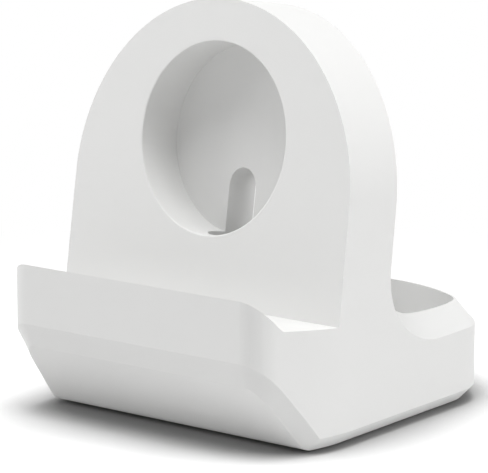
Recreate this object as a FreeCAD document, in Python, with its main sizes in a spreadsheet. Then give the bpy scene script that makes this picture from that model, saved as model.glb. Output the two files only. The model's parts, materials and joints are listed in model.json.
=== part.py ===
import FreeCAD, Part
import math
import os

import Sketcher

# Smartwatch charging dock: a one-piece moulded stand and the thin anti-slip pad let into its underside.
# X is the width, Y runs from the front lip to the back, Z is up from the table, all in millimetres.
# The origin is on the table under the middle of the stand.

SIZES = {
    # outline of the stand, seen from above
    "body_length": 65.4,
    "widest_half_width": 27.9,
    "widest_setback": 12.7,
    "front_narrowing": 3.0,
    "tail_narrowing": 5.9,
    "tail_length": 12.0,
    "front_corner_radius": 4.5,
    "side_blend_radius": 25.0,
    "tail_corner_radius": 12.0,
    # upright with the arched top
    "lean_angle": 7.85,
    "upright_thickness": 12.6,
    "arch_rise": 28.6,
    "arch_drop": 8.05,
    "arch_relief": 0.02,
    # round pocket for the charging puck
    "puck_diameter": 28.0,
    "puck_clearance": 0.25,
    "pocket_depth": 7.6,
    "pocket_height": 42.0,
    "pocket_setback": 17.7,
    "pocket_edge_radius": 0.5,
    # cable slot, channel and outlet
    "cable_slot_width": 5.8,
    "cable_slot_drop": 4.1,
    "channel_cover": 2.3,
    "outlet_height": 6.5,
    # ledge for the watch and the lip in front of it
    "ledge_height": 17.9,
    "ledge_angle": 3.8,
    "ledge_depth": 10.13,
    "lip_height": 22.95,
    "trough_radius": 1.2,
    # undercut of the front and the bevels round the bottom
    "undercut_height": 12.0,
    "undercut_angle": 49.9,
    "undercut_bend_radius": 2.5,
    "bevel_inset": 2.0,
    "bevel_rise": 2.0,
    # rear deck with the cable well
    "deck_height": 15.6,
    "deck_slope_inset": 3.3,
    "deck_slope_drop": 3.8,
    "back_sweep_radius": 5.0,
    "well_front_gap": 5.5,
    "well_side_wall": 3.6,
    "well_tail_wall": 6.9,
    "well_floor": 4.0,
    "well_corner_radius": 8.0,
    "well_front_radius": 1.5,
    # anti-slip pad
    "pad_thickness": 1.2,
    "pad_proud": 0.4,
    "pad_front_inset": 0.6,
    "pad_side_inset": 1.4,
    "pad_clearance": 0.1,
    "pad_corner_radius": 3.0,
}

TILT = "sizes.lean_angle * 1deg"
FRONT = "-sizes.body_length / 2"
BACK = "sizes.body_length / 2"
FRONT_HALF_WIDTH = "(sizes.widest_half_width - sizes.front_narrowing)"
TAIL_HALF_WIDTH = "(sizes.widest_half_width - sizes.tail_narrowing)"
# how far a cut's outline reaches past the stand, and how far a cut runs on past the face that it leaves
MARGIN = "20"
OVERSHOOT = "2"
BLANK_HEIGHT = "(sizes.pocket_height + sizes.arch_rise + %s / 2)" % MARGIN
TOP = "(sizes.pocket_height + sizes.arch_rise + %s)" % MARGIN
POCKET_Y = "(-sizes.body_length / 2 + sizes.pocket_setback)"
POCKET_RADIUS = "(sizes.puck_diameter / 2 + sizes.puck_clearance)"
UNDERCUT_FOOT = "(%s + (sizes.undercut_height - sizes.pad_proud) / tan(sizes.undercut_angle * 1deg))" % FRONT
PAD_EDGE = "(sizes.bevel_inset + sizes.pad_side_inset)"
PAD_FRONT = ("(%s + sizes.undercut_bend_radius * tan(sizes.undercut_angle * 0.5deg) + sizes.pad_front_inset)"
             % UNDERCUT_FOOT)
PAD_TAIL = "(%s - sizes.tail_length)" % BACK

doc = FreeCAD.newDocument("charging_dock")
sheet = doc.addObject("Spreadsheet::Sheet", "sizes")
for row, (alias, value) in enumerate(SIZES.items(), 1):
    sheet.set("A%d" % row, alias)
    sheet.set("B%d" % row, str(value))
    sheet.setAlias("B%d" % row, alias)
doc.recompute()


def value_of(expression):
    """Number that an expression of the sheet gives now."""
    result = sheet.evalExpression(expression)
    return float(getattr(result, "Value", result))


def new_body(label):
    body = doc.addObject("PartDesign::Body", label)
    body.Label = label
    return body


def origin_plane(body, role):
    return next(item for item in body.Origin.OriginFeatures if item.Role == role)


def new_sketch(body, name, role):
    """Empty sketch on one of the body's own origin planes."""
    sketch = body.newObject("Sketcher::SketchObject", name)
    sketch.AttachmentSupport = [(origin_plane(body, role), "")]
    sketch.MapMode = "FlatFace"
    return sketch


def lean_sketch(body, name, depth):
    """Sketch on a plane parallel to the leaning front face, this deep behind the pocket's mouth."""
    sketch = new_sketch(body, name, "XZ_Plane")
    sketch.AttachmentOffset = FreeCAD.Placement(
        FreeCAD.Vector(0, 0, 0), FreeCAD.Rotation(FreeCAD.Vector(-1, 0, 0), SIZES["lean_angle"]))
    sketch.setExpression(".AttachmentOffset.Rotation.Angle", "sizes.lean_angle")
    sketch.setExpression(".AttachmentOffset.Base.y",
                         "sizes.pocket_height - (%s) * sin(%s)" % (depth, TILT))
    sketch.setExpression(".AttachmentOffset.Base.z",
                         "-(%s + (%s) * cos(%s))" % (POCKET_Y, depth, TILT))
    return sketch


def raise_sketch(sketch, height):
    sketch.setExpression(".AttachmentOffset.Base.z", height)


class Drafting:
    """Collects the constraints of one sketch and adds them together, so that nothing moves half-way."""

    def __init__(self, sketch):
        self.sketch = sketch
        self.constraints = []
        self.bindings = []

    def join(self, kind, *references):
        self.constraints.append(Sketcher.Constraint(kind, *references))

    def bind(self, name, kind, references, expression):
        """A constraint whose value follows the sheet."""
        self.bindings.append((len(self.constraints), name, expression))
        self.constraints.append(Sketcher.Constraint(kind, *references, value_of(expression)))

    def pin(self, name, geometry, end, across, along):
        """Hold one point at the place that two expressions give."""
        for axis, kind, line, expression in (("across", "DistanceX", -2, across),
                                             ("along", "DistanceY", -1, along)):
            if expression == "0":
                self.join("PointOnObject", geometry, end, line)
            else:
                self.bind("%s_%s" % (name, axis), kind, (-1, 1, geometry, end), expression)

    def finish(self):
        first = self.sketch.ConstraintCount
        self.sketch.addConstraint(self.constraints)
        for index, name, expression in self.bindings:
            self.sketch.renameConstraint(first + index, name)
            self.sketch.setExpression("Constraints." + name, expression)


def polygon(sketch, corners):
    """Closed outline of straight lines through named corners; each corner is held by the sheet."""
    drafting = Drafting(sketch)
    places = [FreeCAD.Vector(value_of(across), value_of(along), 0) for _, across, along in corners]
    count = len(corners)
    for index in range(count):
        sketch.addGeometry(Part.LineSegment(places[index], places[(index + 1) % count]), False)
    for index, (name, across, along) in enumerate(corners):
        drafting.join("Coincident", (index - 1) % count, 2, index, 1)
        drafting.pin(name, index, 1, across, along)
    drafting.finish()


def arched_outline(sketch, side, crown_place):
    """Symmetric outline: named points down the right side from tail to front, closed by an arched tail."""
    corners = [("%s_right" % name, half, along) for name, half, along in side]
    corners += [("%s_left" % name, "-(%s)" % half, along) for name, half, along in reversed(side)]
    drafting = Drafting(sketch)
    places = [FreeCAD.Vector(value_of(across), value_of(along), 0) for _, across, along in corners]
    last = len(corners) - 1
    for index in range(last):
        sketch.addGeometry(Part.LineSegment(places[index], places[index + 1]), False)
    crown = FreeCAD.Vector(0, value_of(crown_place), 0)
    rise = crown.y - places[0].y
    radius = (places[0].x ** 2 + rise ** 2) / (2 * rise)
    centre = FreeCAD.Vector(0, crown.y - radius, 0)
    swing = math.atan2(places[0].y - centre.y, places[0].x)
    circle = Part.Circle(centre, FreeCAD.Vector(0, 0, 1), radius)
    sketch.addGeometry(Part.ArcOfCircle(circle, swing, math.pi - swing), False)
    sketch.addGeometry(Part.Point(crown), True)
    for index in range(last - 1):
        drafting.join("Coincident", index, 2, index + 1, 1)
    drafting.join("Coincident", last, 1, 0, 1)
    drafting.join("Coincident", last, 2, last - 1, 2)
    drafting.join("PointOnObject", last + 1, 1, last)
    for index in range(last):
        drafting.pin(corners[index][0], index, 1, corners[index][1], corners[index][2])
    drafting.pin(corners[last][0], last - 1, 2, corners[last][1], corners[last][2])
    drafting.pin("crown", last + 1, 1, "0", crown_place)
    drafting.finish()


def round_topped_slot(sketch, half_width, low, top):
    """Upright slot about the sketch's own middle line, with a half-round top."""
    spring = "(%s - %s)" % (top, half_width)
    width, base, shoulder = value_of(half_width), value_of(low), value_of(spring)
    circle = Part.Circle(FreeCAD.Vector(0, shoulder, 0), FreeCAD.Vector(0, 0, 1), width)
    sketch.addGeometry(Part.ArcOfCircle(circle, 0, math.pi), False)
    places = [FreeCAD.Vector(-width, shoulder, 0), FreeCAD.Vector(-width, base, 0),
              FreeCAD.Vector(width, base, 0), FreeCAD.Vector(width, shoulder, 0)]
    for index in range(3):
        sketch.addGeometry(Part.LineSegment(places[index], places[index + 1]), False)
    drafting = Drafting(sketch)
    drafting.join("Coincident", 0, 2, 1, 1)
    drafting.join("Coincident", 1, 2, 2, 1)
    drafting.join("Coincident", 2, 2, 3, 1)
    drafting.join("Coincident", 3, 2, 0, 1)
    drafting.pin("round_middle", 0, 3, "0", spring)
    drafting.pin("shoulder", 0, 1, half_width, spring)
    drafting.bind("other_shoulder", "DistanceY", (-1, 1, 0, 2), spring)
    drafting.pin("low_left", 1, 2, "-(%s)" % half_width, low)
    drafting.pin("low_right", 2, 2, half_width, low)
    drafting.finish()


def wall_half_width(along):
    """Half the stand's width on the tapered sides, at a place along Y behind the widest point."""
    run = "(sizes.body_length - sizes.tail_length - sizes.widest_setback)"
    return "(sizes.widest_half_width - ((%s) - %s - sizes.widest_setback) * sizes.tail_narrowing / %s)" % (
        along, FRONT, run)


def cheek_half_width(along):
    """Half the stand's width at a place along Y in front of the widest point."""
    return "(%s + ((%s) - %s) * sizes.front_narrowing / sizes.widest_setback)" % (
        FRONT_HALF_WIDTH, along, FRONT)


def arch_outside(sketch, depth):
    """Everything outside the arch on one plane: a half ellipse that springs from the stand's side walls."""
    spring_y = "%s - sizes.arch_drop * sin(%s) + (%s) * cos(%s)" % (POCKET_Y, TILT, depth, TILT)
    half = "(%s + sizes.arch_relief)" % wall_half_width(spring_y)
    base = "-sizes.arch_drop"
    crown = "(sizes.arch_rise - sizes.arch_drop)"
    far = "(%s + %s)" % (half, MARGIN)
    high = "(sizes.arch_rise + %s)" % MARGIN
    width, low, top = value_of(half), value_of(base), value_of(crown)
    centre = FreeCAD.Vector(0, low, 0)
    right = FreeCAD.Vector(width, low, 0)
    left = FreeCAD.Vector(-width, low, 0)
    crest = FreeCAD.Vector(0, top, 0)
    # an ellipse is given by its longer radius first
    tall = top - low > width
    if tall:
        arc = Part.ArcOfEllipse(Part.Ellipse(crest, left, centre), -math.pi / 2, math.pi / 2)
    else:
        arc = Part.ArcOfEllipse(Part.Ellipse(right, crest, centre), 0, math.pi)
    sketch.addGeometry(arc, False)
    sketch.exposeInternalGeometry(0)
    axis = 1 if tall else 2
    axis_top = 1 if sketch.Geometry[axis].StartPoint.y > sketch.Geometry[axis].EndPoint.y else 2
    drafting = Drafting(sketch)
    drafting.pin("centre", 0, 3, "0", base)
    drafting.pin("crown", axis, axis_top, "0", crown)
    drafting.pin("spring_right", 0, 1, half, base)
    drafting.bind("spring_left", "DistanceY", (-1, 1, 0, 2), base)
    corners = [("low_left", "-" + far, base), ("high_left", "-" + far, high),
               ("high_right", far, high), ("low_right", far, base)]
    places = [left] + [FreeCAD.Vector(value_of(x), value_of(y), 0) for _, x, y in corners] + [right]
    first = len(sketch.Geometry)
    for index in range(5):
        sketch.addGeometry(Part.LineSegment(places[index], places[index + 1]), False)
    drafting.join("Coincident", 0, 2, first, 1)
    for index in range(4):
        drafting.join("Coincident", first + index, 2, first + index + 1, 1)
        drafting.pin(corners[index][0], first + index, 2, corners[index][1], corners[index][2])
    drafting.join("Coincident", first + 4, 2, 0, 1)
    drafting.finish()


def pad(body, name, sketch, length):
    feature = body.newObject("PartDesign::Pad", name)
    feature.Profile = sketch
    feature.setExpression("Length", length)
    doc.recompute()
    return feature


def pocket(body, name, sketch, length, both_sides=False, backwards=False):
    """Cut a sketch into the body, and check that something was cut."""
    before = body.Shape.Volume
    feature = body.newObject("PartDesign::Pocket", name)
    feature.Profile = sketch
    feature.Midplane = both_sides
    feature.Reversed = backwards
    feature.FuzzyTolerance = 0
    feature.setExpression("Length", length)
    doc.recompute()
    if not body.Shape.Volume < before:
        raise RuntimeError(name + " cuts nothing")
    return feature


def edges_where(body, test):
    """Names of the body's edges whose midpoint and direction pass a test."""
    names = []
    for index, edge in enumerate(body.Shape.Edges, 1):
        middle = edge.valueAt((edge.FirstParameter + edge.LastParameter) / 2)
        if test(edge, middle):
            names.append("Edge%d" % index)
    return names


def fillet(body, name, test, radius):
    names = edges_where(body, test)
    if not names:
        raise RuntimeError(name + " finds no edge")
    tip = body.Tip
    feature = body.newObject("PartDesign::Fillet", name)
    feature.Base = (tip, names)
    feature.Refine = False
    feature.setExpression("Radius", radius)
    doc.recompute()
    return feature


def bevel(body, name, test, size, second_size, flipped):
    """Bevel with two different widths along a chain of smoothly joined edges."""
    names = edges_where(body, test)
    if not names:
        raise RuntimeError(name + " finds no edge")
    tip = body.Tip
    feature = body.newObject("PartDesign::Chamfer", name)
    feature.Base = (tip, names)
    feature.Refine = False
    feature.ChamferType = "Two distances"
    feature.FlipDirection = flipped
    feature.setExpression("Size", size)
    feature.setExpression("Size2", second_size)
    doc.recompute()
    return feature


def is_upright(edge):
    """True for a straight edge that runs along Z."""
    if not isinstance(edge.Curve, Part.Line):
        return False
    return abs(edge.Curve.Direction.z) > 0.999


def near(number, target, reach=0.05):
    return abs(number - target) < reach


def pad_outline(sketch, gap):
    """Outline of the pad's seat, or of the pad itself when the gap between them is taken off."""
    front = "(%s + %s)" % (PAD_FRONT, gap)
    arched_outline(sketch, [
        ("tail", "(%s - %s - %s)" % (wall_half_width(PAD_TAIL), PAD_EDGE, gap), PAD_TAIL),
        ("front", "(%s - %s - %s)" % (cheek_half_width(front), PAD_EDGE, gap), front),
    ], "(%s - %s - %s)" % (BACK, PAD_EDGE, gap))


def round_pad_corners(body, name, gap):
    front_y = value_of("(%s + %s)" % (PAD_FRONT, gap))
    tail_y = value_of(PAD_TAIL)
    top = value_of("sizes.pad_thickness")
    fillet(body, name + "_front_corners",
           lambda edge, middle: is_upright(edge) and near(middle.y, front_y) and middle.z < top,
           "sizes.pad_corner_radius - %s" % gap)
    fillet(body, name + "_tail_corners",
           lambda edge, middle: is_upright(edge) and near(middle.y, tail_y) and middle.z < top,
           "sizes.tail_corner_radius - %s - %s" % (PAD_EDGE, gap))


def base_pad():
    body = new_body("base_pad")
    outline = new_sketch(body, "pad_shape", "XY_Plane")
    pad_outline(outline, "sizes.pad_clearance")
    pad(body, "pad_sheet", outline, "sizes.pad_thickness")
    round_pad_corners(body, "pad", "sizes.pad_clearance")
    return body


def dock_body():
    body = new_body("dock_body")
    half_length = value_of(BACK)
    widest_y = value_of("%s + sizes.widest_setback" % FRONT)

    # blank: the outline of the stand, drawn up to above the arch
    outline = new_sketch(body, "stand_outline", "XY_Plane")
    raise_sketch(outline, "sizes.pad_proud")
    tail_start = "(%s - sizes.tail_length)" % BACK
    arched_outline(outline, [
        ("tail", TAIL_HALF_WIDTH, tail_start),
        ("widest", "sizes.widest_half_width", "(%s + sizes.widest_setback)" % FRONT),
        ("front", FRONT_HALF_WIDTH, FRONT),
    ], BACK)
    pad(body, "blank", outline, "%s - sizes.pad_proud" % BLANK_HEIGHT)
    fillet(body, "front_corners", lambda edge, middle: is_upright(edge) and near(middle.y, -half_length),
           "sizes.front_corner_radius")
    fillet(body, "side_blends", lambda edge, middle: is_upright(edge) and near(middle.y, widest_y),
           "sizes.side_blend_radius")
    tail_y = value_of(tail_start)
    fillet(body, "tail_corners", lambda edge, middle: is_upright(edge) and near(middle.y, tail_y),
           "sizes.tail_corner_radius")

    # space over the ledge and in front of the leaning face
    face_foot = "(%s - (sizes.pocket_height - sizes.ledge_height) * tan(%s))" % (POCKET_Y, TILT)
    face_top = "(%s + (%s - sizes.pocket_height) * tan(%s))" % (POCKET_Y, TOP, TILT)
    ledge_end = "(%s - sizes.ledge_depth)" % face_foot
    ledge_end_height = "(sizes.ledge_height + sizes.ledge_depth * tan(sizes.ledge_angle * 1deg))"
    lip_slope = "((sizes.lip_height - %s) / (%s - %s))" % (ledge_end_height, ledge_end, FRONT)
    front_space = new_sketch(body, "front_space", "YZ_Plane")
    polygon(front_space, [
        ("outside_low", "(%s - %s)" % (FRONT, MARGIN), "(sizes.lip_height + %s * %s)" % (MARGIN, lip_slope)),
        ("ledge_front", ledge_end, ledge_end_height),
        ("face_foot", face_foot, "sizes.ledge_height"),
        ("face_top", face_top, TOP),
        ("outside_high", "(%s - %s)" % (FRONT, MARGIN), TOP),
    ])
    pocket(body, "front_cut", front_space, "4 * sizes.widest_half_width", both_sides=True)
    trough_y = value_of(ledge_end)
    fillet(body, "trough", lambda edge, middle: near(middle.x, 0) and near(middle.y, trough_y),
           "sizes.trough_radius")

    # space behind the upright and over the rear deck
    back_offset = "sizes.upright_thickness / cos(%s)" % TILT
    back_foot = "(%s + %s - (sizes.pocket_height - sizes.deck_height) * tan(%s))" % (
        POCKET_Y, back_offset, TILT)
    back_top = "(%s + %s)" % (face_top, back_offset)
    rear_space = new_sketch(body, "rear_space", "YZ_Plane")
    polygon(rear_space, [
        ("back_foot", back_foot, "sizes.deck_height"),
        ("outside_low", "(%s + %s)" % (BACK, MARGIN), "sizes.deck_height"),
        ("outside_high", "(%s + %s)" % (BACK, MARGIN), TOP),
        ("back_top", back_top, TOP),
    ])
    pocket(body, "rear_cut", rear_space, "4 * sizes.widest_half_width", both_sides=True)

    # arched top, a little narrower at the back because the side walls taper
    arch_front = lean_sketch(body, "arch_front", "-" + OVERSHOOT)
    arch_outside(arch_front, "-" + OVERSHOOT)
    arch_back = lean_sketch(body, "arch_back", "sizes.upright_thickness + " + OVERSHOOT)
    arch_outside(arch_back, "sizes.upright_thickness + " + OVERSHOOT)
    doc.recompute()
    before = body.Shape.Volume
    arch_cut = body.newObject("PartDesign::SubtractiveLoft", "arch_cut")
    arch_cut.Profile = arch_front
    arch_cut.Sections = [arch_back]
    arch_cut.Ruled = True
    arch_cut.FuzzyTolerance = 0
    doc.recompute()
    if not body.Shape.Volume < before:
        raise RuntimeError("arch_cut cuts nothing")

    # slanted underside of the front
    undercut = new_sketch(body, "undercut_profile", "YZ_Plane")
    polygon(undercut, [
        ("foot", UNDERCUT_FOOT, "sizes.pad_proud"),
        ("outside_high", "(%s - %s)" % (FRONT, MARGIN),
         "(sizes.undercut_height + %s * tan(sizes.undercut_angle * 1deg))" % MARGIN),
        ("outside_low", "(%s - %s)" % (FRONT, MARGIN), "(sizes.pad_proud - %s)" % MARGIN),
        ("below", UNDERCUT_FOOT, "(sizes.pad_proud - %s)" % MARGIN),
    ])
    pocket(body, "undercut", undercut, "4 * sizes.widest_half_width", both_sides=True)
    low = value_of("sizes.pad_proud")
    foot_y = value_of(UNDERCUT_FOOT)
    fillet(body, "undercut_bend", lambda edge, middle: near(middle.z, low) and near(middle.y, foot_y),
           "sizes.undercut_bend_radius")

    # cable well, open at the top
    well = new_sketch(body, "well_outline", "XY_Plane")
    raise_sketch(well, "sizes.deck_height")
    well_front = "(%s + sizes.well_front_gap)" % back_foot
    well_tail = "(%s - sizes.tail_length - sizes.well_tail_wall + sizes.well_side_wall)" % BACK
    arched_outline(well, [
        ("tail", "(%s - sizes.well_side_wall)" % wall_half_width(well_tail), well_tail),
        ("front", "(%s - sizes.well_side_wall)" % wall_half_width(well_front), well_front),
    ], "(%s - sizes.well_tail_wall)" % BACK)
    pocket(body, "well", well, "sizes.deck_height - sizes.well_floor")
    floor = value_of("sizes.well_floor")
    well_tail_y = value_of(well_tail)
    fillet(body, "well_tail_corners",
           lambda edge, middle: is_upright(edge) and near(middle.y, well_tail_y) and middle.z > floor,
           "sizes.well_corner_radius")
    well_front_y = value_of(well_front)
    fillet(body, "well_front_corners",
           lambda edge, middle: is_upright(edge) and near(middle.y, well_front_y) and middle.z > floor,
           "sizes.well_front_radius")

    # bevel round the bottom and all round the undercut
    bevel(body, "bottom_bevel", lambda edge, middle: near(middle.z, low) and near(middle.y, half_length),
          "sizes.bevel_inset", "sizes.bevel_rise", False)

    # sloping rim of the rear deck, and its hollow sweep up into the back of the upright
    deck = value_of("sizes.deck_height")
    foot_line = value_of(back_foot)
    bevel(body, "deck_slope", lambda edge, middle: near(middle.z, deck) and near(middle.y, half_length),
          "sizes.deck_slope_inset", "sizes.deck_slope_drop", False)
    slope_middle = value_of("sizes.deck_height - sizes.deck_slope_drop / 2")
    inside_wall = value_of("%s - sizes.deck_slope_inset / 4" % wall_half_width(back_foot))
    fillet(body, "back_sweep",
           lambda edge, middle: near(middle.z, deck) and near(middle.y, foot_line)
           or near(middle.z, slope_middle) and middle.y < foot_line and abs(middle.x) < inside_wall,
           "sizes.back_sweep_radius")

    # round pocket for the puck, square to the leaning face
    mouth = lean_sketch(body, "pocket_mouth", "0")
    circle = Part.Circle(FreeCAD.Vector(0, 0, 0), FreeCAD.Vector(0, 0, 1), value_of(POCKET_RADIUS))
    mouth.addGeometry(circle, False)
    drafting = Drafting(mouth)
    drafting.join("Coincident", 0, 3, -1, 1)
    drafting.bind("radius", "Radius", (0,), POCKET_RADIUS)
    drafting.finish()
    pocket(body, "puck_pocket", mouth, "sizes.pocket_depth")
    mouth_y = value_of(POCKET_Y)
    fillet(body, "pocket_edge", lambda edge, middle: isinstance(edge.Curve, Part.Circle)
           and near(edge.Curve.Radius, value_of(POCKET_RADIUS)) and near(edge.Curve.Center.y, mouth_y),
           "sizes.pocket_edge_radius")

    # cable slot through the pocket's floor, and the channel that leads down from it into the well
    half_slot = "sizes.cable_slot_width / 2"
    slot = lean_sketch(body, "slot_outline", "sizes.pocket_depth / 2")
    round_topped_slot(slot, half_slot, "-(sizes.puck_diameter - sizes.cable_slot_width) / 2",
                      "-sizes.cable_slot_drop")
    pocket(body, "cable_slot", slot, "2 * sizes.upright_thickness")
    channel_top = "(sizes.pocket_height - sizes.puck_diameter / 2 + sizes.cable_slot_width / 2)"
    channel_front = "(%s - %s * sin(%s) + sizes.channel_cover)" % (POCKET_Y, POCKET_RADIUS, TILT)
    channel = new_sketch(body, "channel_outline", "XY_Plane")
    channel.AttachmentOffset = FreeCAD.Placement(
        FreeCAD.Vector(0, 0, 0), FreeCAD.Rotation(FreeCAD.Vector(0, 0, 1), 180))
    raise_sketch(channel, channel_top)
    channel.setExpression(".AttachmentOffset.Base.y", channel_front)
    round_topped_slot(channel, half_slot, "-(%s - %s + %s)" % (well_front, channel_front, OVERSHOOT), "0")
    pocket(body, "cable_channel", channel, "%s - sizes.well_floor" % channel_top)

    # cable outlet through the rear wall, level with the well's floor
    outlet = new_sketch(body, "outlet_outline", "XZ_Plane")
    raise_sketch(outlet, "-(%s - sizes.well_tail_wall - %s)" % (BACK, OVERSHOOT))
    round_topped_slot(outlet, half_slot, "sizes.well_floor", "(sizes.well_floor + sizes.outlet_height)")
    pocket(body, "cable_outlet", outlet, "2 * sizes.well_tail_wall")

    # shallow seat for the anti-slip pad
    seat = new_sketch(body, "seat_outline", "XY_Plane")
    raise_sketch(seat, "sizes.pad_proud")
    pad_outline(seat, "0")
    pocket(body, "pad_seat", seat, "sizes.pad_thickness - sizes.pad_proud", backwards=True)
    round_pad_corners(body, "seat", "0")
    return body


parts = (dock_body(), base_pad())
doc.recompute()
for item in doc.Objects:
    if "Invalid" in item.State or "Error" in item.State:
        raise RuntimeError("%s failed: %s" % (item.Name, item.State))

os.makedirs("parts", exist_ok=True)
for part in parts:
    shape = part.Shape
    if shape.isNull() or not shape.isValid():
        raise RuntimeError(part.Label + " has no valid shape")
    shape.exportStep("parts/%s.step" % part.Label)
    print(part.Label, len(shape.Solids), round(shape.Volume, 1), shape.BoundBox)
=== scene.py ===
# Smartwatch charging dock: the finish of a one-piece moulded silicone desk stand and its grip pad.
import bisect
import json
import math

import bmesh
import bpy
from bpy.props import FloatProperty, PointerProperty, StringProperty
from bpy.types import Operator, Panel, PropertyGroup
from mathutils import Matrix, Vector


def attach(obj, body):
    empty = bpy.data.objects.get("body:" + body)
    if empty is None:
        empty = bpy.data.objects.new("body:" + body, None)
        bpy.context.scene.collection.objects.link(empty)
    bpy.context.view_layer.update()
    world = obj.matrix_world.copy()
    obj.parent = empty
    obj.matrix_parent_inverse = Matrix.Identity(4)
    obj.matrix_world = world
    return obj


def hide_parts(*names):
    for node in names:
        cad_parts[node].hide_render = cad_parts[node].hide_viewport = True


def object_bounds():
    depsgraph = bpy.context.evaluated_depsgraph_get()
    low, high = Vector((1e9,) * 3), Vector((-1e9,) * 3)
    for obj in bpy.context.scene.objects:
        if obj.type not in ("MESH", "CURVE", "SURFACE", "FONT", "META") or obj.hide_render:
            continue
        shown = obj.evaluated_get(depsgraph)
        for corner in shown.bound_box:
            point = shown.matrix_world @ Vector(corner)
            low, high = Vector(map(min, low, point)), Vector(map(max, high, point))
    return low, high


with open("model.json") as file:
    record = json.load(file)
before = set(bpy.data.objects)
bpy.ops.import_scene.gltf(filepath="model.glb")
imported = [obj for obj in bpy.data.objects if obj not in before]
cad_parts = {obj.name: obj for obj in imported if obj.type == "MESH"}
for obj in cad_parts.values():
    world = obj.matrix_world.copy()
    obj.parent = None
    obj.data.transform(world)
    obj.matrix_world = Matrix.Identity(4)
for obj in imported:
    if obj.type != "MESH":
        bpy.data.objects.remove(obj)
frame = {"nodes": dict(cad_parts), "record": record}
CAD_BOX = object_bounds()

bl_info = {
    "name": "Watch Dock Finish",
    "version": (1, 0, 0),
    "blender": (4, 5, 0),
    "location": "3D View > Sidebar > Dock",
    "description": "Gives a moulded watch dock its soft edges, its rubber finishes and its studio",
    "category": "Object",
}

MM = 0.001
BODY = "root"
POCKET = next(mount for mount in frame["record"]["mounts"] if mount["name"] == "puck_pocket")

# the CAD body's own planes and levels: its side walls come together by 5.9 mm in 40.7 mm of length, and the
# upright's back is at y -2.281 mm at height 42 mm
WALL_HALF = 27.9 * MM
WALL_START = -20.0 * MM
WALL_TAPER = 5.9 / 40.7
BACK_LEAN = math.tan(math.radians(7.85))
BACK_FOOT = -2.281 * MM - 42 * MM * BACK_LEAN
DECK_TOP = 15.6 * MM
SLOPE_FOOT = 11.8 * MM
SLOPE_WIDTH = 3.3 * MM
WELL_FLOOR = 4.0 * MM

# how near a vertex is to a plane or level to lie on it, and to an edge or the well's floor to belong to it
ON_PLANE = 0.02 * MM
AT_EDGE = 0.05 * MM
AT_FLOOR = 0.1 * MM
NEAR_WALL = 3.0 * MM

# a face whose normal rises less than the first is a wall, and more than the second is level
WALL_NORMAL = 0.1
LEVEL_NORMAL = 0.9

# the mesh gets edge loops behind the upright: every face behind CUT_START is cut up, and so is one that
# starts further forward, if its middle is behind CUT_MIDDLE and above CUT_BASE
CUTS_ALONG = [step * MM for step in range(0, 26)]
CUTS_ACROSS = [step * MM for step in range(-18, 19, 2)]
CUT_START = -1 * MM
CUT_MIDDLE = 1 * MM
CUT_BASE = 3.8 * MM
CUT_MERGE = 0.01 * MM

# the real plan of the well and the tail, about the well's middle: the sides curve in from SIDE_END, the
# tail's wall is a shallow arc, and a tight corner joins them
WELL_MIDDLE = 8.0 * MM
WELL_HALF = 20.75 * MM
WELL_TAIL = 25.4 * MM
SIDE_END = 8.6 * MM
SIDE_CURVE = 0.019 / MM
TAIL_CURVE = 0.0166 / MM
CORNER_SOFTNESS = 1.2 * MM
FURTHEST = 30 * MM
HALVINGS = 24

# the new plan comes in behind TAIL_START over TAIL_EASE; the rim is thin, and the tail's outer corners are
# pulled in, most in the direction CORNER_TURN
TAIL_START = 4.0 * MM
TAIL_EASE = 4 * MM
RIM_WIDTH = 0.35 * MM
THINNEST_RIM = 0.01 * MM
CORNER_TURN = math.radians(47)
CORNER_SPREAD = math.radians(24)
CORNER_PULL = 0.95 * MM
SAME_TURN = 1e-6

# the cable slot and the channel under it: the share by which they are narrower at the pocket's floor, and
# the further share at the upright's back
SLOT_HALF = 2.9 * MM
SLOT_DEPTH = 5.05 * MM
SLOT_TOP = 40.0 * MM
CHANNEL_DEPTH = 7.0 * MM
CHANNEL_MOUTH = -0.4 * MM
SLOT_NARROW_FRONT = 0.09
SLOT_NARROW_BACK = 0.26

# the sweep up the upright's back: its reach across and upward, at the side walls and over the deck
SWEEP_SIDE = (16.0 * MM, 12.3 * MM)
SWEEP_MIDDLE = (12.8 * MM, 11.0 * MM)
SWEEP_ROUNDS = 6
# the CAD's smaller curve, which it widens: where it ends behind, and how far it rises, at the side walls and
# over the deck; the vertices to move are below OLD_TOP and in front of NEW_END
OLD_END = (-1.49 * MM, -0.18 * MM)
OLD_RISE = (7.5 * MM, 5.68 * MM)
OLD_TOP = 21.5 * MM
NEW_END = 14 * MM

# the CAD's rounding at the pocket's mouth, and how much of it is kept
MOUTH_ROUNDING = 0.5 * MM
MOUTH_KEEP = 0.4

# the lip's edges are in front of LIP_BACK and above LIP_FOOT; a crease from CREASE_ANGLE on stays crisp
LIP_BACK = -27.0 * MM
LIP_FOOT = 15.0 * MM
CREASE_ANGLE = math.radians(12)
# a CAD mesh is joined up where vertices are this near, and where faces meet at less than this they become one
JOIN_DISTANCE = 0.002 * MM
FLAT_ANGLE = math.radians(0.5)
ROUNDING_STEPS = 4
SHADING_WEIGHT = 100

# by how much the silicone's roughness varies, and the spacing of the pad's unevenness
ROUGHNESS_SPREAD = 0.05
PAD_SKIN = 1.2 * MM

# painted contact shadow: how open the paper is to the room, and the shade painted into its colour by that
OPENNESS = (0.3, 0.92)
PAINTED_SHADE = (0.25, 1.05)
OPENNESS_SAMPLES = 16
# the distances from the dock's middle between which the paper turns plain white, and half the paper's width
WHITE_FROM = 50 * MM
WHITE_TO = 160 * MM
FLOOR_HALF = 3.0

# each square lamp's place and width in metres
KEY_PLACE, KEY_WIDTH = (0.07, -0.14, 0.66), 0.35
LEFT_PLACE, LEFT_WIDTH = (-0.58, -0.26, 0.25), 0.35
SIDE_PLACE, SIDE_WIDTH = (0.60, 0.28, 0.30), 0.4
SENSOR_WIDTH = 36


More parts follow.
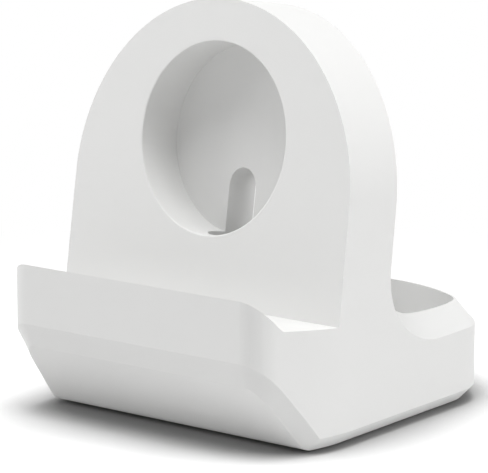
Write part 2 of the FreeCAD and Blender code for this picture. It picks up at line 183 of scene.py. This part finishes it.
class DockFinish(PropertyGroup):
    """Sizes and colours of the dock's own surfaces."""

    edge_radius: FloatProperty(
        name="Edge radius", description="Rounding of the mould's outer edges", default=0.35 * MM,
        min=0.05 * MM, max=0.8 * MM, unit="LENGTH")
    lip_radius: FloatProperty(
        name="Lip radius", description="Rounding of the lip's edges, where there is room for it",
        default=1.0 * MM, min=0.2 * MM, max=1.5 * MM, unit="LENGTH")
    edge_angle: FloatProperty(
        name="Edge angle", description="Faces that meet at more than this get a rounded edge",
        default=math.radians(24), subtype="ANGLE")
    silicone_colour: StringProperty(
        name="Silicone colour", description="White pigment of the moulding, as an sRGB hex value",
        default="#DEDEDD")
    silicone_roughness: FloatProperty(
        name="Silicone roughness", description="How matte the moulded surface is", default=0.58,
        min=0.2, max=1.0)
    grain_size: FloatProperty(
        name="Mould grain", description="Spacing of the fine texture that the mould leaves",
        default=0.3 * MM, unit="LENGTH")
    flow_size: FloatProperty(
        name="Flow unevenness", description="Spacing of the faint waves of a soft moulding",
        default=14 * MM, unit="LENGTH")
    pad_colour: StringProperty(
        name="Grip pad colour", description="Colour of the tacky pad, as an sRGB hex value",
        default="#D2D2D0")
    pad_roughness: FloatProperty(
        name="Grip pad roughness", description="How matte the tacky pad is", default=0.42,
        min=0.2, max=1.0)


class DockStudio(PropertyGroup):
    """The floor, the lamps and the camera."""

    camera_azimuth: FloatProperty(
        name="Camera azimuth", description="Turn of the camera about the dock",
        default=math.radians(42.378), subtype="ANGLE")
    camera_elevation: FloatProperty(
        name="Camera elevation", description="Height of the camera as an angle",
        default=math.radians(9.775), subtype="ANGLE")
    camera_distance: FloatProperty(
        name="Camera distance", description="From the camera to the point it looks at",
        default=477.123 * MM, unit="LENGTH")
    aim_right: FloatProperty(
        name="Aim right", description="The point looked at, to the right of the pocket's middle",
        default=4.64 * MM, unit="LENGTH")
    aim_down: FloatProperty(
        name="Aim down", description="The point looked at, below the pocket's middle",
        default=14.392 * MM, unit="LENGTH")
    camera_lens: FloatProperty(
        name="Lens", description="Focal length on a sensor 36 mm wide", default=240.4, min=20)
    world_strength: FloatProperty(
        name="Surround light", description="Strength of the even light from all round", default=0.4, min=0)
    key_power: FloatProperty(
        name="Key lamp", description="Power of the large lamp above the front", default=3.0, min=0,
        unit="POWER")
    left_power: FloatProperty(
        name="Left lamp", description="Power of the lamp that grazes the face from the left",
        default=1.5, min=0, unit="POWER")
    side_power: FloatProperty(
        name="Side lamp", description="Power of the lamp on the right", default=1.85, min=0, unit="POWER")
    # how far the shade painted into the paper's colour reaches round the dock
    painted_shadow_reach: FloatProperty(
        name="Contact shadow", description="How far the dark of the contact shadow reaches",
        default=19 * MM, unit="LENGTH")


def linear(hex_value):
    """The linear colour of an sRGB hex value."""
    values = [int(hex_value[i:i + 2], 16) / 255 for i in (1, 3, 5)]
    return [v / 12.92 if v <= 0.04045 else ((v + 0.055) / 1.055) ** 2.4 for v in values] + [1.0]


def add(tree, kind, links=None, values=None, **settings):
    """Adds a node with its own settings, the plain values of its sockets and the links that feed them."""
    node = tree.nodes.new(kind)
    for name, value in settings.items():
        setattr(node, name, value)
    for socket, value in (values or {}).items():
        node.inputs[socket].default_value = value
    for socket, source in (links or {}).items():
        tree.links.new(source, node.inputs[socket])
    return node


def new_material(name):
    """A material with an empty node tree."""
    material = bpy.data.materials.new(name)
    material.use_nodes = True
    material.node_tree.nodes.clear()
    return material, material.node_tree


def moulded_silicone(finish):
    """White silicone rubber from a bead-blasted mould: matte, with no more than a wide, weak highlight."""
    material, tree = new_material("moulded_silicone_white")
    place = add(tree, "ShaderNodeTexCoord").outputs["Object"]
    # the mould's blasted grain is about 0.05 mm, drawn as coarse as it needs to be to show
    grain = add(tree, "ShaderNodeTexNoise", {"Vector": place},
                {"Scale": 1 / finish.grain_size, "Detail": 2}, noise_dimensions="3D")
    # a soft moulding is never quite flat
    flow = add(tree, "ShaderNodeTexNoise", {"Vector": place},
               {"Scale": 1 / finish.flow_size, "Detail": 1}, noise_dimensions="3D")
    waves = add(tree, "ShaderNodeBump", {"Height": flow.outputs["Fac"]},
                {"Strength": 0.25, "Distance": 0.15 * MM})
    bumps = add(tree, "ShaderNodeBump", {"Height": grain.outputs["Fac"], "Normal": waves.outputs["Normal"]},
                {"Strength": 0.35, "Distance": 0.02 * MM})
    # handling leaves the matte finish a little uneven
    matte = add(tree, "ShaderNodeMapRange", {"Value": flow.outputs["Fac"]},
                {"To Min": finish.silicone_roughness - ROUGHNESS_SPREAD,
                 "To Max": finish.silicone_roughness + ROUGHNESS_SPREAD})
    shader = add(tree, "ShaderNodeBsdfPrincipled",
                 {"Normal": bumps.outputs["Normal"], "Roughness": matte.outputs["Result"]},
                 {"Base Color": linear(finish.silicone_colour), "IOR": 1.41})
    add(tree, "ShaderNodeOutputMaterial", {"Surface": shader.outputs["BSDF"]})
    return material


def tacky_pad(finish):
    """Cast polyurethane grip pad: smooth, slightly darker than the moulding and a little glossier."""
    material, tree = new_material("cast_polyurethane_grip")
    place = add(tree, "ShaderNodeTexCoord").outputs["Object"]
    skin = add(tree, "ShaderNodeTexNoise", {"Vector": place},
               {"Scale": 1 / PAD_SKIN, "Detail": 1}, noise_dimensions="3D")
    bumps = add(tree, "ShaderNodeBump", {"Height": skin.outputs["Fac"]},
                {"Strength": 0.2, "Distance": 0.05 * MM})
    shader = add(tree, "ShaderNodeBsdfPrincipled", {"Normal": bumps.outputs["Normal"]},
                 {"Base Color": linear(finish.pad_colour), "Roughness": finish.pad_roughness, "IOR": 1.5})
    add(tree, "ShaderNodeOutputMaterial", {"Surface": shader.outputs["BSDF"]})
    return material


def pocket_mouth():
    """The middle of the pocket's mouth, and the axis that points out of it."""
    axis = Vector(POCKET["axis"]).normalized()
    return Vector(POCKET["pos_m"]) + axis * (POCKET["dims"]["length_mm"] * MM / 2), axis


def wall_at(y):
    """Half the body's width at y, behind the widest place."""
    return WALL_HALF - (y - WALL_START) * WALL_TAPER


def wall_gap(place):
    """How far a point is inside the side wall."""
    return wall_at(place.y) - abs(place.x)


def back_at(z):
    """Where the upright's back plane is at height z."""
    return BACK_FOOT + z * BACK_LEAN


def well_edge(turn):
    """The well's rim in plan: how far it is from the well's middle, in the direction turn."""
    across, along = abs(math.cos(turn)), math.sin(turn)
    low, high = 0.0, FURTHEST
    for _ in range(HALVINGS):
        reach = (low + high) / 2
        x, y = across * reach, WELL_MIDDLE + along * reach
        side = x - (WELL_HALF - SIDE_CURVE * max(0.0, y - SIDE_END) ** 2)
        tail = y - (WELL_TAIL - TAIL_CURVE * x * x)
        gap = side - tail
        outside = (side + tail + math.sqrt(gap * gap + CORNER_SOFTNESS ** 2)) / 2
        if outside > 0:
            high = reach
        else:
            low = reach
    return low


def to_cut(face):
    """Whether a face is behind the upright, or above the well's floor and mostly behind it."""
    middle = face.calc_center_median()
    if min(vert.co.y for vert in face.verts) > CUT_START:
        return True
    return middle.y > CUT_MIDDLE and middle.z > CUT_BASE


def cut_up(shape):
    """Adds edge loops behind the upright, so that the tail and the sweep have vertices to be shaped by."""
    cuts = [((0, y, 0), (0, 1, 0)) for y in CUTS_ALONG]
    cuts += [((x, 0, 0), (1, 0, 0)) for x in CUTS_ACROSS]
    for place, normal in cuts:
        faces = [face for face in shape.faces if to_cut(face)]
        edges = {edge for face in faces for edge in face.edges}
        verts = {vert for face in faces for vert in face.verts}
        bmesh.ops.bisect_plane(shape, geom=list(verts) + list(edges) + faces, dist=CUT_MERGE,
                               plane_co=place, plane_no=normal)


def outline_table(points):
    """Sorted (direction, distance) of points about the well's middle, for the right half."""
    return sorted((math.atan2(y - WELL_MIDDLE, abs(x)), math.hypot(x, y - WELL_MIDDLE)) for x, y in points)


def look_up(table, turn):
    """The distance that an outline table gives for a direction, between its rows in proportion."""
    turns = [row[0] for row in table]
    place = bisect.bisect_left(turns, turn)
    if place == 0:
        return table[0][1]
    if place == len(table):
        return table[-1][1]
    (first, near), (second, far) = table[place - 1], table[place]
    if second - first < SAME_TURN:
        return near
    return near + (far - near) * (turn - first) / (second - first)


def on_slope(vert):
    """Whether a vertex belongs to the slope round the deck."""
    return any(WALL_NORMAL < face.normal.z < LEVEL_NORMAL for face in vert.link_faces)


def shape_tail(shape):
    """Follows the real plan of the well and the tail: a shallow arc between two tight corners."""
    behind = [v for v in shape.verts if v.co.y > TAIL_START]
    rims = [v for v in behind if abs(v.co.z - DECK_TOP) < ON_PLANE]
    feet = [v for v in behind if abs(v.co.z - SLOPE_FOOT) < ON_PLANE and wall_gap(v.co) < NEAR_WALL]
    well = outline_table([v.co.xy for v in rims if any(abs(f.normal.z) < WALL_NORMAL for f in v.link_faces)])
    deck = outline_table([v.co.xy for v in rims if on_slope(v)])
    wall = outline_table([v.co.xy for v in feet if on_slope(v)])
    moves = []
    for vert in behind:
        x, y, z = vert.co
        turn = math.atan2(y - WELL_MIDDLE, abs(x))
        reach = math.hypot(x, y - WELL_MIDDLE)
        if reach == 0:
            continue
        old_well, old_deck, old_wall = (look_up(table, turn) for table in (well, deck, wall))
        new_well = well_edge(turn)
        new_deck = new_well + RIM_WIDTH
        corner = math.exp(-((turn - CORNER_TURN) / CORNER_SPREAD) ** 2)
        new_wall = old_wall - CORNER_PULL * corner
        if reach <= old_well + AT_EDGE and z > WELL_FLOOR - AT_FLOOR:
            goal = reach * new_well / old_well
        elif z > DECK_TOP - ON_PLANE:
            share = (reach - old_well) / max(old_deck - old_well, THINNEST_RIM)
            goal = new_well + RIM_WIDTH * min(max(share, 0), 1)
        elif z > SLOPE_FOOT - ON_PLANE:
            share = (reach - old_deck) / (old_wall - old_deck)
            goal = new_deck + (new_wall - new_deck) * share
        else:
            goal = reach * new_wall / old_wall
        ease = min((y - TAIL_START) / TAIL_EASE, 1)
        goal = reach + (goal - reach) * ease * ease * (3 - 2 * ease)
        moves.append((vert, Vector((x * goal / reach, WELL_MIDDLE + (y - WELL_MIDDLE) * goal / reach, z))))
    for vert, place in moves:
        vert.co = place


def shape_slot(shape):
    """Narrows the cable slot and the channel towards the upright's back, as the mould's draft does."""
    for vert in shape.verts:
        x, y, z = vert.co
        if abs(x) > SLOT_HALF + AT_EDGE or not WELL_FLOOR - AT_FLOOR < z < SLOT_TOP:
            continue
        if not back_at(z) - CHANNEL_DEPTH < y < CHANNEL_MOUTH:
            continue
        depth = min(max(1 - (back_at(z) - y) / SLOT_DEPTH, 0), 1)
        vert.co.x = x * (1 - SLOT_NARROW_FRONT - SLOT_NARROW_BACK * depth)


def shape_sweep(shape):
    """Widens the curve from the upright's back into the deck to an ellipse, larger towards the side walls."""
    for vert in shape.verts:
        x, y, z = vert.co
        if not (SLOPE_FOOT - ON_PLANE < z < OLD_TOP and back_at(z) < y + ON_PLANE and y < NEW_END):
            continue
        # inner goes from 0 at the side wall to 1 over the deck, and base is the surface below the curve
        gap = max(wall_gap(vert.co), 0)
        if y > OLD_END[1]:
            inner = min(max((z - SLOPE_FOOT) / (DECK_TOP - SLOPE_FOOT), 0), 1)
        else:
            inner = min(gap / SLOPE_WIDTH, 1)
        base = SLOPE_FOOT + (DECK_TOP - SLOPE_FOOT) * inner
        if z < base - AT_EDGE:
            continue
        across = SWEEP_SIDE[0] + (SWEEP_MIDDLE[0] - SWEEP_SIDE[0]) * inner
        upward = SWEEP_SIDE[1] + (SWEEP_MIDDLE[1] - SWEEP_SIDE[1]) * inner
        old_end = OLD_END[0] + (OLD_END[1] - OLD_END[0]) * inner
        old_rise = OLD_RISE[0] + (OLD_RISE[1] - OLD_RISE[0]) * inner
        place = vert.co.copy()
        # the place on the ellipse above y; the back leans, so its foot moves with the height found
        start_y = max(y, old_end)
        angle = 0.0
        height = base
        for _ in range(SWEEP_ROUNDS):
            angle = math.asin(min(max((across - (start_y - back_at(height))) / across, 0), 1))
            height = base + upward * (1 - math.cos(angle))
        # a vertex of the old curve goes on up the ellipse, by its share of the old curve
        if y < old_end - ON_PLANE:
            share = math.acos(1 - min(max((z - base) / old_rise, 0), 1)) / (math.pi / 2)
            angle += (math.pi / 2 - angle) * share
            height = base + upward * (1 - math.cos(angle))
            place.y = back_at(height) + across * (1 - math.sin(angle))
            if inner < 1:
                place.x = math.copysign(wall_at(place.y) - gap, x)
        place.z = height
        vert.co = place


def shape_pocket_edge(shape):
    """Tightens the rounding at the pocket's mouth."""
    mouth, axis = pocket_mouth()
    bore = POCKET["dims"]["r_mm"] * MM
    for vert in shape.verts:
        below = (mouth - vert.co).dot(axis)
        spoke = vert.co - mouth + axis * below
        if not -ON_PLANE < below < MOUTH_ROUNDING + ON_PLANE:
            continue
        if abs(spoke.length - bore) < MOUTH_ROUNDING + ON_PLANE:
            reach = bore + (spoke.length - bore) * MOUTH_KEEP
            vert.co = mouth - axis * below * MOUTH_KEEP + spoke.normalized() * reach


def mark_edges(shape, radius, lip_radius, angle):
    """Weights the edges that get rounded, the lip's most, and keeps the shallow creases crisp."""
    layer = shape.edges.layers.float.new("bevel_weight_edge")
    for edge in shape.edges:
        if len(edge.link_faces) != 2:
            continue
        turn = edge.calc_face_angle(0)
        on_lip = all(v.co.y < LIP_BACK and v.co.z > LIP_FOOT for v in edge.verts)
        if turn > angle:
            edge[layer] = 1.0 if on_lip and edge.is_convex else radius / lip_radius
        elif turn > CREASE_ANGLE:
            edge.smooth = False


def softened(node_name, piece_name, radius, angle, shaping=(), lip_radius=1 * MM):
    """A copy of a CAD node's mesh, joined up and shaped, with its sharp edges rounded."""
    mesh = frame["nodes"][node_name].data.copy()
    mesh.materials.clear()
    shape = bmesh.new()
    shape.from_mesh(mesh)
    bmesh.ops.remove_doubles(shape, verts=shape.verts, dist=JOIN_DISTANCE)
    bmesh.ops.dissolve_limit(shape, angle_limit=FLAT_ANGLE, verts=shape.verts, edges=shape.edges)
    for step in shaping:
        step(shape)
    for face in shape.faces:
        face.smooth = True
    mark_edges(shape, radius, lip_radius, angle)
    shape.to_mesh(mesh)
    shape.free()
    rough = bpy.data.objects.new(piece_name + "_rough", mesh)
    bpy.context.scene.collection.objects.link(rough)
    rounding = rough.modifiers.new("edge rounding", "BEVEL")
    rounding.width = lip_radius
    rounding.segments = ROUNDING_STEPS
    rounding.limit_method = "WEIGHT"
    rounding.use_clamp_overlap = True
    evenness = rough.modifiers.new("even shading", "WEIGHTED_NORMAL")
    evenness.weight = SHADING_WEIGHT
    evenness.keep_sharp = True
    graph = bpy.context.evaluated_depsgraph_get()
    finished = bpy.data.meshes.new_from_object(rough.evaluated_get(graph))
    bpy.data.objects.remove(rough)
    piece = bpy.data.objects.new(piece_name, finished)
    bpy.context.scene.collection.objects.link(piece)
    return piece


class DOCK_OT_moulding(Operator):
    """Shape the stand, round its edges and give it its silicone finish"""

    bl_idname = "dock.moulding"
    bl_label = "Moulded body"

    def execute(self, context):
        finish = context.scene.dock_finish
        piece = softened("dock_body", "moulded_stand", finish.edge_radius, finish.edge_angle,
                         (cut_up, shape_tail, shape_slot, shape_sweep, shape_pocket_edge), finish.lip_radius)
        piece.data.materials.append(moulded_silicone(finish))
        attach(piece, BODY)
        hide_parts("dock_body")
        return {"FINISHED"}


class DOCK_OT_grip_pad(Operator):
    """Round the edges of the pad under the stand and give it its tacky finish"""

    bl_idname = "dock.grip_pad"
    bl_label = "Grip pad"

    def execute(self, context):
        finish = context.scene.dock_finish
        piece = softened("base_pad", "grip_sheet", finish.edge_radius / 2, finish.edge_angle)
        piece.data.materials.append(tacky_pad(finish))
        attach(piece, BODY)
        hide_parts("base_pad")
        return {"FINISHED"}


def seen_directly(tree):
    """1 for what is seen, straight, in a gloss or through something clear, and 0 for light on the dock."""
    path = add(tree, "ShaderNodeLightPath")
    seen = add(tree, "ShaderNodeMath",
               {0: path.outputs["Is Camera Ray"], 1: path.outputs["Is Glossy Ray"]}, operation="MAXIMUM")
    seen_too = add(tree, "ShaderNodeMath",
                   {0: seen.outputs["Value"], 1: path.outputs["Is Transmission Ray"]}, operation="MAXIMUM")
    return seen_too.outputs["Value"]


def white_floor(reach):
    """Seamless white paper: it shows white to the camera, and keeps the dock's real shadow, with painted
    shade added near the dock.
    """
    material, tree = new_material("seamless_paper_white")
    paper = add(tree, "ShaderNodeBsdfDiffuse", values={"Color": linear("#E8E8E8")})
    # painted shade: the paper's colour darkens with how little of the room it sees, which deepens the real
    # contact shadow most where the dock overhangs
    openness = add(tree, "ShaderNodeAmbientOcclusion", values={"Distance": reach}, samples=OPENNESS_SAMPLES)
    shade = add(tree, "ShaderNodeMapRange", {"Value": openness.outputs["AO"]},
                {"From Min": OPENNESS[0], "From Max": OPENNESS[1], "To Min": PAINTED_SHADE[0], "To Max": PAINTED_SHADE[1]})
    painted_shadow_paper = add(tree, "ShaderNodeBsdfDiffuse", {"Color": shade.outputs["Result"]})
    # past the shadow the paper is plain white, however far it runs from the lamps
    place = add(tree, "ShaderNodeTexCoord").outputs["Object"]
    away = add(tree, "ShaderNodeVectorMath", {"Vector": place}, operation="LENGTH")
    far = add(tree, "ShaderNodeMapRange", {"Value": away.outputs["Value"]},
              {"From Min": WHITE_FROM, "From Max": WHITE_TO}, interpolation_type="SMOOTHSTEP")
    plain = add(tree, "ShaderNodeEmission")
    seen_paper = add(tree, "ShaderNodeMixShader", {0: far.outputs["Result"], 1: painted_shadow_paper.outputs["BSDF"],
                                                   2: plain.outputs["Emission"]})
    mix = add(tree, "ShaderNodeMixShader", {0: seen_directly(tree), 1: paper.outputs["BSDF"],
                                            2: seen_paper.outputs["Shader"]})
    add(tree, "ShaderNodeOutputMaterial", {"Surface": mix.outputs["Shader"]})
    return material


def white_world(strength):
    """Even surround light for the dock, and plain white where the camera sees past the floor."""
    world = bpy.data.worlds.new("white surround")
    world.use_nodes = True
    tree = world.node_tree
    tree.nodes.clear()
    level = add(tree, "ShaderNodeMapRange", {"Value": seen_directly(tree)},
                {"To Min": strength, "To Max": 1.0})
    light = add(tree, "ShaderNodeBackground", {"Strength": level.outputs["Result"]},
                {"Color": linear("#FFFFFF")})
    add(tree, "ShaderNodeOutputWorld", {"Surface": light.outputs["Background"]})
    bpy.context.scene.world = world


def area_lamp(name, place, target, width, power):
    """Hangs a square lamp that points at the target and that the camera doesn't see."""
    data = bpy.data.lights.new(name, "AREA")
    data.shape = "SQUARE"
    data.size = width
    data.energy = power
    lamp = bpy.data.objects.new(name, data)
    lamp.location = place
    lamp.visible_camera = False
    lamp.rotation_euler = (Vector(target) - Vector(place)).to_track_quat("-Z", "Y").to_euler()
    bpy.context.scene.collection.objects.link(lamp)


def lay_floor(height, reach):
    """Lays the paper under the dock at a height."""
    corners = [(x * FLOOR_HALF, y * FLOOR_HALF, height) for x, y in ((-1, -1), (1, -1), (1, 1), (-1, 1))]
    mesh = bpy.data.meshes.new("floor")
    mesh.from_pydata(corners, [], [(0, 1, 2, 3)])
    floor = bpy.data.objects.new("floor", mesh)
    floor.data.materials.append(white_floor(reach))
    bpy.context.scene.collection.objects.link(floor)


def place_camera(studio):
    """Puts the camera where the photo was taken from."""
    turn, rise = studio.camera_azimuth, studio.camera_elevation
    back = Vector((math.sin(turn) * math.cos(rise), -math.cos(turn) * math.cos(rise), math.sin(rise)))
    right = Vector((math.cos(turn), math.sin(turn), 0))
    up = back.cross(right)
    aim = pocket_mouth()[0] + right * studio.aim_right - up * studio.aim_down
    data = bpy.data.cameras.new("camera")
    data.lens = studio.camera_lens
    data.sensor_width = SENSOR_WIDTH
    camera = bpy.data.objects.new("camera", data)
    camera.location = aim + back * studio.camera_distance
    camera.rotation_euler = (math.pi / 2 - rise, 0, turn)
    bpy.context.scene.collection.objects.link(camera)
    bpy.context.scene.camera = camera


class DOCK_OT_studio(Operator):
    """Lay the white floor, hang the lamps and set up the camera"""

    bl_idname = "dock.studio"
    bl_label = "Studio"

    def execute(self, context):
        studio = context.scene.dock_studio
        low, high = CAD_BOX
        middle = (low + high) / 2
        lay_floor(low.z, studio.painted_shadow_reach)
        white_world(studio.world_strength)
        area_lamp("key lamp", KEY_PLACE, middle, KEY_WIDTH, studio.key_power)
        area_lamp("left lamp", LEFT_PLACE, middle, LEFT_WIDTH, studio.left_power)
        area_lamp("side lamp", SIDE_PLACE, middle, SIDE_WIDTH, studio.side_power)
        place_camera(studio)
        context.scene.view_settings.view_transform = "Standard"
        return {"FINISHED"}


class DOCK_PT_panel(Panel):
    """The dock's sizes, colours and lamps, and the operators that make it."""

    bl_idname = "DOCK_PT_panel"
    bl_label = "Watch dock"
    bl_space_type = "VIEW_3D"
    bl_region_type = "UI"
    bl_category = "Dock"

    def draw(self, context):
        for group in (context.scene.dock_finish, context.scene.dock_studio):
            box = self.layout.box()
            for name in group.__annotations__:
                box.prop(group, name)
        for operator in OPERATORS:
            self.layout.operator(operator.bl_idname)


OPERATORS = (DOCK_OT_moulding, DOCK_OT_grip_pad, DOCK_OT_studio)
CLASSES = (DockFinish, DockStudio) + OPERATORS + (DOCK_PT_panel,)


def register():
    for item in CLASSES:
        bpy.utils.register_class(item)
    bpy.types.Scene.dock_finish = PointerProperty(type=DockFinish)
    bpy.types.Scene.dock_studio = PointerProperty(type=DockStudio)


def unregister():
    del bpy.types.Scene.dock_studio
    del bpy.types.Scene.dock_finish
    for item in reversed(CLASSES):
        bpy.utils.unregister_class(item)


def main():
    register()
    bpy.ops.dock.moulding()
    bpy.ops.dock.grip_pad()
    bpy.ops.dock.studio()


if __name__ == "__main__":
    main()
